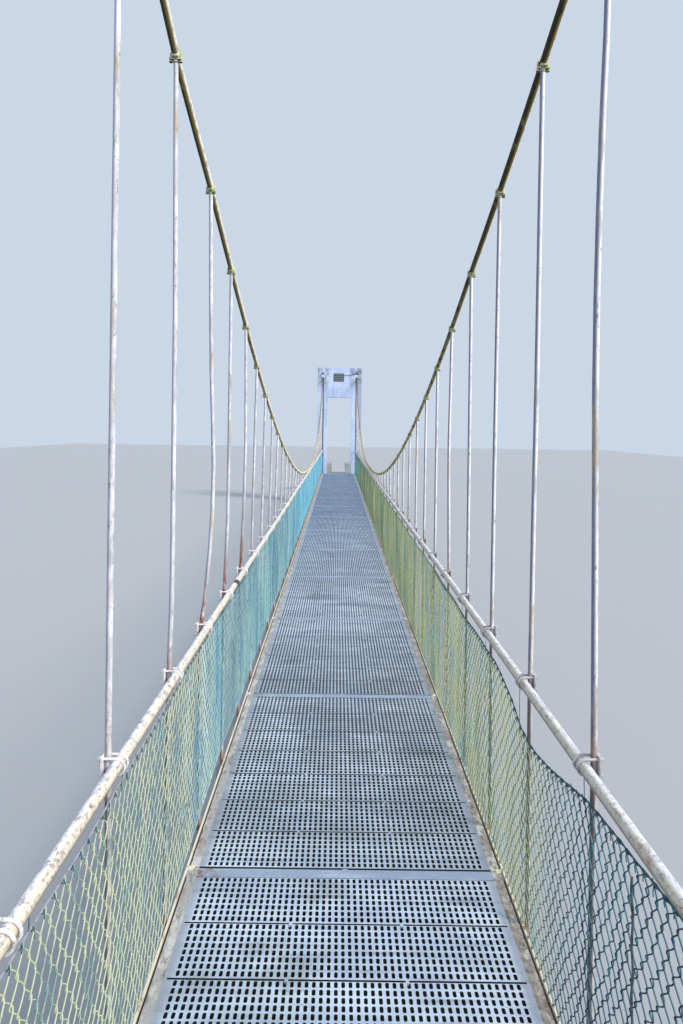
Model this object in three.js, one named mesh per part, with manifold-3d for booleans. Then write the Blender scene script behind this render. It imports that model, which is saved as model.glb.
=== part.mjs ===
// Suspension footbridge: a planked steel deck in modules, hung by rods from two cables.
// Millimetres, +Z up, +Y along the walk. The origin is on the lowest ground, under the middle of the deck.
import * as THREE from 'three';
import { mergeVertices } from 'three/addons/utils/BufferGeometryUtils.js';
import Module from 'manifold-3d';

const wasm = await Module();
wasm.setup();

// Clearance between pieces that bear on each other, and how deep joined members sink into each other
const seat = 0.3;
const weld = 1;

// How far a cutting shape reaches past what it cuts
const overcut = 10;

// Deck
const moduleCount = 15;
const moduleLength = 1830;
const moduleGap = 8;
const deckLength = moduleCount * moduleLength;
const deckEnd = deckLength / 2;
const deckTop = 1150;
const deckHalfWidth = 647;
const plankDepth = 40;
const planksPerModule = 7;
const plankRim = 45;
const plankOpening = 85;
const crossPlateWidth = 51;
const crossPlateThick = 8;

// Side members of a module: an upstanding edge flat outside, an angle inside it
const edgeFlatThick = 7;
const edgeFlatRise = 6;
const angleOuter = 632;
const angleInner = 596;
const angleThick = 5;

// Cross-beams carry the module and reach out to the hangers
const beamWidth = 40;
const beamDepth = 60;
const beamHalfLength = 685;
const firstBeam = 305;
const hangerSpacing = 610;
const beamsPerModule = 3;

// Suspension
const hangerX = 660;
const hangerRadius = 9;
const hangerSides = 6;
const cableRadius = 14;
const cableSides = 8;
const clampLength = 56;
const clampHalfWidth = 23;
const clampBelowCable = 18;
const clampAboveCable = 4;
const lowestY = 1545;
const lowestHeight = 940;
const nearSaddleHeight = 4880;
const farSaddleHeight = 3760;
const nearCurvePower = 2.25;
const farCurvePower = 2.4;

// Handrail and its U-bolts
const railRadius = 17;
const railX = hangerX - hangerRadius - seat - railRadius;
const railHeight = 884;
const boltRadius = 4;
const boltClearance = 0.5;
const boltOffset = hangerRadius + boltClearance + boltRadius;
const boltPlateThick = 6;
const boltPlateHeight = 26;
const boltPlateLength = 46;

// Wire mesh under the rail
const meshThick = 3;
const meshX = hangerX - hangerRadius - seat - meshThick / 2;
const meshBelowRail = 45;
const meshTop = railHeight - meshBelowRail;
const meshBottom = -30;
const meshColumns = 12;
const meshRows = 3;
const meshBar = 12;

// Portals
const portalGap = 20;
const portalDepth = 400;
const portalHalfWidth = 857;
const portalOpeningHalfWidth = 471;
const lintelDepth = 1150;
const slotX = hangerX;
const slotWidth = 116;
const slotHeight = 440;
const slotBelowTop = 226;
const slotTopAboveCable = 130;
const grooveDepth = 30;

// Saddles in the slots, and the bend of the cable over them
const saddleWidth = 80;
const saddleInset = 10;
const bendRadius = 300;
const bendSteps = 8;

// Abutments under the portals
const abutmentHalfWidth = 980;
const ledgeLength = 200;
const landingLength = 800;

// Anchorages of the backstays
const anchorRun = 5000;
const anchorTop = deckTop + 150;
const anchorHalfWidth = 350;
const anchorLength = 1400;
const anchorEyeHeight = 110;
const gussetAboveEye = 60;
const anchorPlateLength = 420;
const anchorPlateWidth = 160;
const anchorPlateThick = 25;
const gussetThick = 24;
const gussetLength = 260;

const portalMiddle = deckEnd + portalGap + portalDepth / 2;
const colours = {
  concrete: { color: 0xc9cdd4, roughness: 0.9, metalness: 0 },
  galvanised: { color: 0x8f9aa8, roughness: 0.55, metalness: 0.8 },
  frame: { color: 0x8d867c, roughness: 0.7, metalness: 0.5 },
  cable: { color: 0x7d7a52, roughness: 0.8, metalness: 0.3 },
  rail: { color: 0xd2ccb8, roughness: 0.6, metalness: 0.1 },
  mesh: { color: 0x4c8f86, roughness: 0.6, metalness: 0 },
  casting: { color: 0x4a4743, roughness: 0.7, metalness: 0.6 },
};

// A path that is straight between its points, with one step for each stretch
class PointPath extends THREE.Curve {
  constructor(points) {
    super();
    this.points = points;
  }

  getPoint(t, target = new THREE.Vector3()) {
    const last = this.points.length - 1;
    const index = Math.min(Math.floor(t * last), last - 1);
    return target.lerpVectors(this.points[index], this.points[index + 1], t * last - index);
  }

  getUtoTmapping(u) {
    return u;
  }
}

// Joining and cutting of closed shapes
function toSolid(geometry) {
  const plain = geometry.clone();
  plain.deleteAttribute('normal');
  plain.deleteAttribute('uv');
  const merged = mergeVertices(plain, 1e-4);
  return new wasm.Manifold(new wasm.Mesh({
    numProp: 3,
    vertProperties: new Float32Array(merged.attributes.position.array),
    triVerts: new Uint32Array(merged.index.array),
  }));
}

function toGeometry(solid) {
  const mesh = solid.getMesh();
  const geometry = new THREE.BufferGeometry();
  geometry.setAttribute('position', new THREE.BufferAttribute(mesh.vertProperties, 3));
  geometry.setIndex(new THREE.BufferAttribute(mesh.triVerts, 1));
  return geometry;
}

function join(geometries) {
  return toGeometry(geometries.map(toSolid).reduce((all, next) => all.add(next)));
}

function cut(geometry, tools) {
  return toGeometry(tools.map(toSolid).reduce((rest, tool) => rest.subtract(tool), toSolid(geometry)));
}

// Simple shapes, given by their limits
function box(x0, x1, y0, y1, z0, z1) {
  const geometry = new THREE.BoxGeometry(Math.abs(x1 - x0), y1 - y0, z1 - z0);
  return geometry.translate((x0 + x1) / 2, (y0 + y1) / 2, (z0 + z1) / 2);
}

// An upright rod with a corner of its section to either side
function upright(x, y, z0, z1, radius, sides) {
  const geometry = new THREE.CylinderGeometry(radius, radius, z1 - z0, sides);
  return geometry.rotateX(Math.PI / 2).rotateZ(Math.PI / 2).translate(x, y, (z0 + z1) / 2);
}

function lengthwise(x, z, y0, y1, radius, sides) {
  const geometry = new THREE.CylinderGeometry(radius, radius, y1 - y0, sides);
  return geometry.translate(x, (y0 + y1) / 2, z);
}

// An outline of [y, z] points, carried across the bridge from x0 to x1
function acrossPrism(outline, x0, x1) {
  const shape = new THREE.Shape(outline.map(([y, z]) => new THREE.Vector2(y, z)));
  const geometry = new THREE.ExtrudeGeometry(shape, { depth: x1 - x0, bevelEnabled: false });
  const turn = new THREE.Matrix4().makeBasis(
    new THREE.Vector3(0, 1, 0),
    new THREE.Vector3(0, 0, 1),
    new THREE.Vector3(1, 0, 0),
  );
  return geometry.applyMatrix4(turn).translate(x0, 0, 0);
}

// The middle of each cell of a grid that divides a rectangle evenly
function gridCentres(x0, x1, y0, y1, columns, rows) {
  const centres = [];
  for (let column = 0; column < columns; column += 1) {
    for (let row = 0; row < rows; row += 1) {
      centres.push([x0 + ((column + 0.5) * (x1 - x0)) / columns, y0 + ((row + 0.5) * (y1 - y0)) / rows]);
    }
  }
  return centres;
}

// Where the hangers are, along the bridge
function hangerPlaces() {
  const places = [];
  for (let module = 0; module < moduleCount; module += 1) {
    for (let beam = 0; beam < beamsPerModule; beam += 1) {
      places.push(-deckEnd + module * moduleLength + firstBeam + beam * hangerSpacing);
    }
  }
  return places;
}

// Height of the cable above the deck: lowest beyond mid-span, higher at the near portal
function cableHeight(y) {
  const near = y < lowestY;
  const rise = (near ? nearSaddleHeight : farSaddleHeight) - lowestHeight;
  const reach = near ? lowestY + portalMiddle : portalMiddle - lowestY;
  return lowestHeight + rise * (Math.abs(y - lowestY) / reach) ** (near ? nearCurvePower : farCurvePower);
}

// The slope of the backstay, as an angle below level
function backstayAngle(saddleHeight) {
  const drop = deckTop + saddleHeight - anchorTop - anchorEyeHeight;
  return Math.atan2(drop, anchorRun);
}

// The slope of the last stretch of the main span, from the end hanger up to the saddle
function spanAngle(end, saddleHeight) {
  const hangers = hangerPlaces();
  const lastHanger = end < 0 ? hangers[0] : hangers[hangers.length - 1];
  const run = portalMiddle - Math.abs(lastHanger);
  return Math.atan2(saddleHeight - cableHeight(lastHanger), run);
}

// Points of the bend over a saddle, from the span side to the backstay side
function bendPoints(end, saddleHeight, radius) {
  const from = spanAngle(end, saddleHeight);
  const to = backstayAngle(saddleHeight);
  const centreZ = deckTop + saddleHeight - bendRadius;
  const points = [];
  for (let step = 0; step <= bendSteps; step += 1) {
    const angle = -from + (from + to) * (step / bendSteps);
    points.push([end * (portalMiddle + radius * Math.sin(angle)), centreZ + radius * Math.cos(angle)]);
  }
  return points;
}

function anchorPoint(side, end, saddleHeight) {
  const bend = bendPoints(end, saddleHeight, bendRadius);
  const [lastY, lastZ] = bend[bend.length - 1];
  const eyeZ = anchorTop + anchorEyeHeight;
  const run = (lastZ - eyeZ) / Math.tan(backstayAngle(saddleHeight));
  return new THREE.Vector3(side * slotX, lastY + end * run, eyeZ);
}

// One cable from anchorage to anchorage, with its hanger clamps and end plates
function mainCable(side) {
  const asPoint = ([y, z]) => new THREE.Vector3(side * slotX, y, z);
  const hangers = hangerPlaces();
  const nearBend = bendPoints(-1, nearSaddleHeight, bendRadius).map(asPoint).reverse();
  const farBend = bendPoints(1, farSaddleHeight, bendRadius).map(asPoint);
  const span = hangers.map((y) => new THREE.Vector3(side * hangerX, y, deckTop + cableHeight(y)));
  const nearEye = anchorPoint(side, -1, nearSaddleHeight);
  const farEye = anchorPoint(side, 1, farSaddleHeight);
  const route = [nearEye, ...nearBend, ...span, ...farBend, farEye];
  const section = new THREE.Shape();
  for (let corner = 0; corner < cableSides; corner += 1) {
    const angle = (corner / cableSides) * 2 * Math.PI;
    const place = [cableRadius * Math.cos(angle), cableRadius * Math.sin(angle)];
    if (corner === 0) section.moveTo(...place);
    else section.lineTo(...place);
  }
  const cable = new THREE.ExtrudeGeometry(section, {
    steps: route.length - 1,
    extrudePath: new PointPath(route),
    bevelEnabled: false,
  });
  const pieces = [cable];
  for (const point of span) {
    pieces.push(box(
      point.x - clampHalfWidth, point.x + clampHalfWidth,
      point.y - clampLength / 2, point.y + clampLength / 2,
      point.z - cableRadius - clampBelowCable, point.z + cableRadius + clampAboveCable,
    ));
  }
  for (const eye of [nearEye, farEye]) {
    pieces.push(box(
      eye.x - anchorPlateWidth / 2, eye.x + anchorPlateWidth / 2,
      eye.y - anchorPlateLength / 2, eye.y + anchorPlateLength / 2,
      anchorTop + seat, anchorTop + anchorPlateThick,
    ));
    pieces.push(box(
      eye.x - gussetThick / 2, eye.x + gussetThick / 2,
      eye.y - gussetLength / 2, eye.y + gussetLength / 2,
      anchorTop + anchorPlateThick - weld, eye.z + gussetAboveEye,
    ));
  }
  return join(pieces);
}

// A handrail with the U-bolts that hold it to the hangers
function handrail(side) {
  const end = deckEnd + portalGap - seat;
  const z = deckTop + railHeight;
  const pieces = [lengthwise(side * railX, z, -end, end, railRadius, 12)];
  const plateInner = hangerX + hangerRadius + seat;
  for (const y of hangerPlaces()) {
    for (const across of [-boltOffset, boltOffset]) {
      pieces.push(box(
        side * railX, side * (plateInner + weld),
        y + across - boltRadius, y + across + boltRadius,
        z - boltRadius, z + boltRadius,
      ));
    }
    pieces.push(box(
      side * plateInner, side * (plateInner + boltPlateThick),
      y - boltPlateLength / 2, y + boltPlateLength / 2,
      z - boltPlateHeight / 2, z + boltPlateHeight / 2,
    ));
  }
  return join(pieces);
}

// The wire mesh as a thin, wide grid; its knots and wires are finer than this model
function wireMesh(side) {
  const end = deckEnd - seat;
  const foot = deckTop + meshBottom;
  const top = deckTop + meshTop;
  const inner = side * (meshX - meshThick / 2);
  const outer = side * (meshX + meshThick / 2);
  const halfLength = end / meshColumns - meshBar / 2;
  const halfHeight = (top - foot) / meshRows / 2 - meshBar / 2;
  const tools = gridCentres(-end, end, foot, top, meshColumns, meshRows).map(([y, z]) => box(
    inner - side * overcut, outer + side * overcut,
    y - halfLength, y + halfLength,
    z - halfHeight, z + halfHeight,
  ));
  return cut(box(inner, outer, -end, end, foot, top), tools);
}

// One module's frame: cross-beams with their hangers, side angles, edge flats, and a cross plate at the end
function deckFrame(start) {
  const end = start + moduleLength - moduleGap;
  const beamTop = deckTop - plankDepth;
  const pieces = [];
  for (const side of [-1, 1]) {
    pieces.push(box(
      side * (deckHalfWidth - edgeFlatThick), side * deckHalfWidth,
      start, end, beamTop - weld, deckTop + edgeFlatRise,
    ));
    pieces.push(box(side * angleInner, side * angleOuter, start, end, deckTop - angleThick, deckTop));
    pieces.push(box(
      side * (angleOuter - angleThick), side * angleOuter,
      start, end, beamTop - weld, deckTop - angleThick + weld,
    ));
    pieces.push(box(
      side * (angleOuter - weld), side * (deckHalfWidth - edgeFlatThick + weld),
      end - crossPlateWidth, end, deckTop - crossPlateThick, deckTop,
    ));
  }
  for (let beam = 0; beam < beamsPerModule; beam += 1) {
    const y = start + firstBeam + beam * hangerSpacing;
    pieces.push(box(
      -beamHalfLength, beamHalfLength,
      y - beamWidth / 2, y + beamWidth / 2, beamTop - beamDepth, beamTop,
    ));
    const rodTop = deckTop + cableHeight(y) - cableRadius - clampBelowCable - seat;
    for (const side of [-1, 1]) {
      pieces.push(upright(side * hangerX, y, beamTop - weld, rodTop, hangerRadius, hangerSides));
    }
  }
  pieces.push(box(
    -angleInner - weld, angleInner + weld,
    end - crossPlateWidth, end, deckTop - crossPlateThick, deckTop,
  ));
  return join(pieces);
}

// The planks of a module as one slab, with one long opening for the rows of holes in each plank
function deckPanel(start) {
  const end = start + moduleLength - moduleGap - crossPlateWidth - seat;
  const half = angleInner - seat;
  const foot = deckTop - plankDepth + seat;
  const tools = gridCentres(-half, half, start, end, 1, planksPerModule).map(([x, y]) => box(
    x - half + plankRim, x + half - plankRim,
    y - plankOpening / 2, y + plankOpening / 2,
    foot - overcut, deckTop + overcut,
  ));
  return cut(box(-half, half, start, end, foot, deckTop), tools);
}

// A portal: two legs and a deep lintel, with a slot for each cable and a groove below it
function portal(end, saddleHeight) {
  const base = deckTop + seat;
  const slotTop = deckTop + saddleHeight + slotTopAboveCable;
  const slotFoot = slotTop - slotHeight;
  const top = slotTop + slotBelowTop;
  const underLintel = top - lintelDepth;
  const face = deckEnd + portalGap;
  const y0 = end < 0 ? -face - portalDepth : face;
  const outline = new THREE.Shape([
    new THREE.Vector2(-portalHalfWidth, base),
    new THREE.Vector2(-portalOpeningHalfWidth, base),
    new THREE.Vector2(-portalOpeningHalfWidth, underLintel),
    new THREE.Vector2(portalOpeningHalfWidth, underLintel),
    new THREE.Vector2(portalOpeningHalfWidth, base),
    new THREE.Vector2(portalHalfWidth, base),
    new THREE.Vector2(portalHalfWidth, top),
    new THREE.Vector2(-portalHalfWidth, top),
  ]);
  const block = new THREE.ExtrudeGeometry(outline, { depth: portalDepth, bevelEnabled: false });
  block.rotateX(Math.PI / 2).translate(0, y0 + portalDepth, 0);
  const tools = [];
  for (const side of [-1, 1]) {
    const inner = side * (slotX - slotWidth / 2);
    const outer = side * (slotX + slotWidth / 2);
    tools.push(box(inner, outer, y0 - overcut, y0 + portalDepth + overcut, slotFoot, slotTop));
    const grooveStart = end < 0 ? y0 + portalDepth - grooveDepth : y0 - overcut;
    const grooveEnd = grooveStart + grooveDepth + overcut;
    tools.push(box(inner, outer, grooveStart, grooveEnd, base - overcut, slotFoot + weld));
  }
  return cut(block, tools);
}

// A saddle: a block on the foot of the slot, with a round top that the cable bends over
function saddle(side, end, saddleHeight) {
  const foot = deckTop + saddleHeight + slotTopAboveCable - slotHeight + seat;
  const top = bendPoints(end, saddleHeight, bendRadius - cableRadius - seat);
  const limit = portalDepth / 2 - saddleInset;
  const inSlot = top.filter(([y]) => Math.abs(Math.abs(y) - portalMiddle) <= limit);
  const first = inSlot[0];
  const last = inSlot[inSlot.length - 1];
  const outline = [[first[0], foot], ...inSlot, [last[0], foot]];
  return acrossPrism(outline, side * slotX - saddleWidth / 2, side * slotX + saddleWidth / 2);
}

// An abutment: the block under a portal, with a ledge for the deck's end and a landing behind
function abutment(end) {
  const ledge = deckTop - plankDepth - weld - seat;
  const back = deckEnd + portalGap + portalDepth + landingLength;
  const outline = [
    [end * (deckEnd - ledgeLength), 0],
    [end * (deckEnd - ledgeLength), ledge],
    [end * (deckEnd + portalGap / 2), ledge],
    [end * (deckEnd + portalGap / 2), deckTop],
    [end * back, deckTop],
    [end * back, 0],
  ];
  return acrossPrism(outline, -abutmentHalfWidth, abutmentHalfWidth);
}

// The block of concrete that holds one backstay down
function anchorBlock(side, end, saddleHeight) {
  const eye = anchorPoint(side, end, saddleHeight);
  return box(
    eye.x - anchorHalfWidth, eye.x + anchorHalfWidth,
    eye.y - anchorLength / 2, eye.y + anchorLength / 2,
    0, anchorTop,
  );
}

const group = new THREE.Group();

function addPiece(name, geometry, look) {
  const mesh = new THREE.Mesh(geometry, new THREE.MeshStandardMaterial(colours[look]));
  mesh.name = name;
  group.add(mesh);
}

const ends = [
  { name: 'near', end: -1, saddleHeight: nearSaddleHeight },
  { name: 'far', end: 1, saddleHeight: farSaddleHeight },
];
const sides = [
  { name: 'left', side: -1 },
  { name: 'right', side: 1 },
];

for (const { name, end, saddleHeight } of ends) {
  addPiece(`${name}_abutment`, abutment(end), 'concrete');
  addPiece(`${name}_portal`, portal(end, saddleHeight), 'concrete');
  for (const { name: sideName, side } of sides) {
    addPiece(`${name}_anchor_${sideName}`, anchorBlock(side, end, saddleHeight), 'concrete');
    addPiece(`${name}_saddle_${sideName}`, saddle(side, end, saddleHeight), 'casting');
  }
}
for (const { name, side } of sides) {
  addPiece(`main_cable_${name}`, mainCable(side), 'cable');
  addPiece(`handrail_${name}`, handrail(side), 'rail');
  addPiece(`wire_mesh_${name}`, wireMesh(side), 'mesh');
}
for (let module = 0; module < moduleCount; module += 1) {
  const start = -deckEnd + module * moduleLength;
  const number = String(module + 1).padStart(2, '0');
  addPiece(`deck_frame_${number}`, deckFrame(start), 'frame');
  addPiece(`deck_panel_${number}`, deckPanel(start), 'galvanised');
}

export default group;
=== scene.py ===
# Looks of a suspension footbridge: perforated zinc planks, painted rods and rails, wire netting and
# concrete portals.
# Metres, +Z up, +Y along the walk, the origin on the ground under the middle of the deck.
import math

import bpy
import numpy as np
from mathutils import Matrix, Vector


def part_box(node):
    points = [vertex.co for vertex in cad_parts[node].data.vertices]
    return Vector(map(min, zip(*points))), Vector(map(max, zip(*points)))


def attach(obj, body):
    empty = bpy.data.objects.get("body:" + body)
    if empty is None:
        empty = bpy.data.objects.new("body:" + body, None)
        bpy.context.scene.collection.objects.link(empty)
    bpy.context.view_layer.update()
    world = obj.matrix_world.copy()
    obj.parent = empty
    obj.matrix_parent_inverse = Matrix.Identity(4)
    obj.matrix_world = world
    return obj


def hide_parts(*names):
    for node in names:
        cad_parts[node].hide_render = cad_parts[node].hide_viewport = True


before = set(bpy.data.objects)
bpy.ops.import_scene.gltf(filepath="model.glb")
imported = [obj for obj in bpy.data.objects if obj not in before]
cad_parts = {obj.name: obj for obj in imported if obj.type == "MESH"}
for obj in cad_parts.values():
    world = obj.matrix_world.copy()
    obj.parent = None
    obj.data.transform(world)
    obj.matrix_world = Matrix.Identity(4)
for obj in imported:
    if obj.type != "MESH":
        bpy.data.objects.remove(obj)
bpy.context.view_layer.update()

# Deck, as the frame has it
MODULES = 15
MODULE_LENGTH = 1.830
MODULE_GAP = 0.008
DECK_END = MODULES * MODULE_LENGTH / 2
DECK_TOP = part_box("deck_panel_01")[1][2]
PLANK_HALF = 0.596
CROSS_PLATE_WIDTH = 0.051
CROSS_PLATE_THICK = 0.008
FLANGE_OUTER = 0.632
EDGE_INNER = 0.640
EDGE_OUTER = 0.647
EDGE_RISE = 0.006
EDGE_CHAMFER = 0.0012
SHEET = 0.005
BEAM_TOP = DECK_TOP - 0.040
BEAM_DEPTH = 0.060
BEAM_WIDTH = 0.040
BEAM_HALF = 0.685
FIRST_BEAM = 0.305
HANGER_SPACING = 0.610
BEAMS = 3
BEAM_WALL = 0.003

# Planks: seven a module, each with eight rows of long holes
PLANKS = 7
PLANK_PITCH = 0.253
PLANK_JOINT = 0.0100
HOLE_COLUMNS = 48
HOLE_ROWS = 8
COLUMN_PITCH = 0.02366
ROW_PITCH = 0.0304
FIRST_ROW = 0.0170
HOLE_WIDTH = 0.0122
HOLE_LENGTH = 0.0232
HOLE_CORNER = 0.0034
ROUNDED_MODULES = (1, 2)
SHEET_METAL = 0.0025
RIB_DEPTH = 0.024
RIB_TOP = 0.0002
PLANK_DIP = 0.0012
FOLD = 0.0018
PLANK_FLANGE = 0.036
WELD_TAB_X = 0.2
WELD_TAB_HALF = 0.006

# Suspension, as the frame has it
HANGER_X = 0.660
HANGER_RADIUS = 0.009
NUT_RADIUS = 0.0165
NUT_HEIGHT = 0.012
NEAR_RODS = 14
CABLE_RADIUS = 0.014
LOWEST_Y = 1.545
LOWEST_HEIGHT = 0.940
NEAR_SADDLE = 4.880
FAR_SADDLE = 3.760
NEAR_POWER = 2.25
FAR_POWER = 2.4
CLAMP_DROP = -0.004
BEND_RADIUS = 0.300
BEND_STEPS = 16
PORTAL_MIDDLE = DECK_END + 0.020 + 0.200
ANCHOR_RUN = 5.000
ANCHOR_TOP = DECK_TOP + 0.150
ANCHOR_EYE = 0.110
SLOT_X = 0.655
PLATE_MIDDLE = (-0.028, DECK_TOP + 3.744)
PLATE_HALF_X = 0.2
PLATE_HALF_Z = 0.155
CONDUIT_RADIUS = 0.0085

# Handrail and netting
RAIL_RADIUS = 0.017
RAIL_X = 0.6337
RAIL_Z = DECK_TOP + 0.884
BAND_Y = -8.885
BAND_HALF = 0.035
NET_X = 0.6492
NET_TOP = {-1: 0.806, 1: 0.797}
NET_BOTTOM = {-1: 0.020, 1: -0.028}
NET_PITCH = {-1: 0.0250, 1: 0.0232}
NET_ROWS = {-1: 20, 1: 23}
NET_WIRE = 0.0020
NET_DEPTH = 0.0042
NET_ENDS = (-DECK_END + 0.01, -12.0, -9.3, -6.5, DECK_END - 0.03)
SELVAGE_WIRE = 0.0024
STRAND = 0.0021
TWIST = 0.0022
KNOT_RADIUS = 0.0036
TAIL_WIRE = 0.0014
TIE_WIRE = 0.0012
LACE_RADIUS = 0.0034
LACE_Y = -11.285
LAST_KNOT = -8.0

rng = np.random.default_rng(7)


def hanger_places():
    starts = [-DECK_END + FIRST_BEAM + module * MODULE_LENGTH for module in range(MODULES)]
    return [start + beam * HANGER_SPACING for start in starts for beam in range(BEAMS)]


def cable_height(y):
    near = y < LOWEST_Y
    rise = (NEAR_SADDLE if near else FAR_SADDLE) - LOWEST_HEIGHT
    reach = LOWEST_Y + PORTAL_MIDDLE if near else PORTAL_MIDDLE - LOWEST_Y
    return LOWEST_HEIGHT + rise * (abs(y - LOWEST_Y) / reach) ** (NEAR_POWER if near else FAR_POWER)


# Mesh code: a shape gathers points and faces, and stamps copies of other shapes
class Shape:
    def __init__(self):
        self.points = []
        self.faces = []
        self.count = 0

    def add(self, points, *faces):
        points = np.asarray(points, dtype=float).reshape(-1, 3)
        for face in faces:
            self.faces.append(np.asarray(face, dtype=int) + self.count)
        self.points.append(points)
        self.count += len(points)

    def stamp(self, other, offsets):
        offsets = np.asarray(offsets, dtype=float).reshape(-1, 3)
        points = np.concatenate(other.points)
        starts = np.arange(len(offsets)) * other.count
        faces = [(face[None] + starts[:, None, None]).reshape(-1, face.shape[1]) for face in other.faces]
        self.add((points[None] + offsets[:, None]).reshape(-1, 3), *faces)

    def mirrored(self):
        other = Shape()
        points = np.concatenate(self.points) * (-1, 1, 1)
        other.add(points, *[face[:, ::-1] for face in self.faces])
        return other


def chamfered_faces():
    corners = [(x, y, z) for x in (-1, 1) for y in (-1, 1) for z in (-1, 1)]
    index = {(corner, axis): 3 * i + axis for i, corner in enumerate(corners) for axis in range(3)}
    quads = []
    for axis in range(3):
        first, second = [other for other in range(3) if other != axis]
        for sign in (-1, 1):
            ring = sorted(
                (corner for corner in corners if corner[axis] == sign),
                key=lambda corner: math.atan2(corner[second], corner[first]),
            )
            quads.append([index[corner, axis] for corner in ring])
    for corner in corners:
        for axis in range(3):
            if corner[axis] < 0:
                opposite = tuple(1 if other == axis else corner[other] for other in range(3))
                first, second = [other for other in range(3) if other != axis]
                ring = (corner, first), (opposite, first), (opposite, second), (corner, second)
                quads.append([index[key] for key in ring])
    triangles = [[index[corner, axis] for axis in range(3)] for corner in corners]
    return corners, outward(corners, quads), outward(corners, triangles)


def chamfered_points(corners, low, high, chamfer):
    points = []
    for corner in corners:
        for axis in range(3):
            point = []
            for other in range(3):
                edge = high[other] if corner[other] > 0 else low[other]
                point.append(edge if other == axis else edge - corner[other] * chamfer)
            points.append(point)
    return np.array(points)


def outward(corners, faces):
    points = chamfered_points(corners, (-1, -1, -1), (1, 1, 1), 0.2)
    turned = []
    for face in faces:
        normal = np.cross(points[face[1]] - points[face[0]], points[face[2]] - points[face[0]])
        turned.append(face if normal @ points[face].mean(axis=0) > 0 else face[::-1])
    return np.array(turned)


CORNERS, CHAMFER_QUADS, CHAMFER_TRIANGLES = chamfered_faces()
UP = (0, 0, 1)


def block(shape, low, high, chamfer=0.0006):
    low, high = np.minimum(low, high), np.maximum(low, high)
    shape.add(chamfered_points(CORNERS, low, high, chamfer), CHAMFER_QUADS, CHAMFER_TRIANGLES)


# Rings of points joined into a tube, with a cap at each end
def skin(shape, rings):
    count, sides = rings.shape[:2]
    ring = np.arange(count - 1)[:, None]
    side = np.arange(sides)[None]
    low, high = ring * sides, (ring + 1) * sides
    next_side = (side + 1) % sides
    quads = np.stack([low + side, low + next_side, high + next_side, high + side], axis=-1).reshape(-1, 4)
    shape.add(rings.reshape(-1, 3), quads, side[:, ::-1], side + (count - 1) * sides)


def tube(shape, path, radius, sides, start=(1, 0, 0)):
    path = np.asarray(path, dtype=float)
    tangents = np.gradient(path, axis=0)
    tangents /= np.linalg.norm(tangents, axis=1)[:, None]
    radii = np.broadcast_to(radius, len(path))
    normal = np.array(start, dtype=float)
    angles = np.arange(sides) / sides * 2 * math.pi
    rings = np.zeros((len(path), sides, 3))
    for i, tangent in enumerate(tangents):
        normal = normal - tangent * (normal @ tangent)
        normal /= np.linalg.norm(normal)
        other = np.cross(tangent, normal)
        circle = np.cos(angles)[:, None] * normal + np.sin(angles)[:, None] * other
        rings[i] = path[i] + circle * radii[i]
    skin(shape, rings)


def prism(shape, centre, axis, radius, length, sides, chamfer=0.0):
    centre = np.asarray(centre, dtype=float)
    axis = np.asarray(axis, dtype=float)
    half = length / 2
    steps = [-half, half]
    radii = [radius, radius]
    if chamfer:
        steps = [-half, -half + chamfer, half - chamfer, half]
        radii = [radius - chamfer, radius, radius, radius - chamfer]
    start = UP if abs(axis[2]) < 0.9 else (1, 0, 0)
    tube(shape, [centre + axis * step for step in steps], np.array(radii), sides, start=start)


# One piece from shapes with their materials; shapes of the left side are drawn on the right and mirrored
def make_piece(name, parts, smooth=None, replaced=(), point_values=None, side=1):
    if side < 0:
        parts = [(shape.mirrored(), material) for shape, material in parts]
    mesh = bpy.data.meshes.new(name)
    points = np.concatenate([np.concatenate(shape.points) for shape, _ in parts])
    starts = np.cumsum([0] + [shape.count for shape, _ in parts])
    faces = [face + start for (shape, _), start in zip(parts, starts) for face in shape.faces]
    material_of = [i for i, (shape, _) in enumerate(parts) for _ in shape.faces]
    sizes = np.concatenate([np.full(len(face), face.shape[1]) for face in faces])
    corners = np.concatenate([face.ravel() for face in faces])
    mesh.vertices.add(len(points))
    mesh.vertices.foreach_set("co", points.astype(np.float32).ravel())
    mesh.loops.add(len(corners))
    mesh.loops.foreach_set("vertex_index", corners.astype(np.int32))
    mesh.polygons.add(len(sizes))
    mesh.polygons.foreach_set("loop_start", np.concatenate([[0], np.cumsum(sizes)[:-1]]).astype(np.int32))
    slots = np.concatenate([np.full(len(face), i) for face, i in zip(faces, material_of)])
    mesh.polygons.foreach_set("material_index", slots.astype(np.int32))
    mesh.polygons.foreach_set("use_smooth", np.full(len(sizes), smooth is not None))
    for _, material in parts:
        mesh.materials.append(material)
    mesh.update(calc_edges=True)
    if smooth is not None and smooth < 180:
        mesh.set_sharp_from_angle(angle=math.radians(smooth))
    if point_values is not None:
        values = mesh.attributes.new("wear", "FLOAT", "POINT").data
        values.foreach_set("value", point_values.astype(np.float32))
    piece = bpy.data.objects.new(name, mesh)
    bpy.context.scene.collection.objects.link(piece)
    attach(piece, "root")
    if replaced:
        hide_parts(*replaced)


# Colours are given as they show on a screen
def paint(red, green, blue):
    def linear(value):
        value /= 255
        return value / 12.92 if value <= 0.04045 else ((value + 0.055) / 1.055) ** 2.4
    return (linear(red), linear(green), linear(blue), 1.0)


# Sockets of the node that mixes two colours
MIX_UNDER, MIX_OVER, MIX_RESULT = 6, 7, 2
EVEN = (1, 1, 1)


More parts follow.
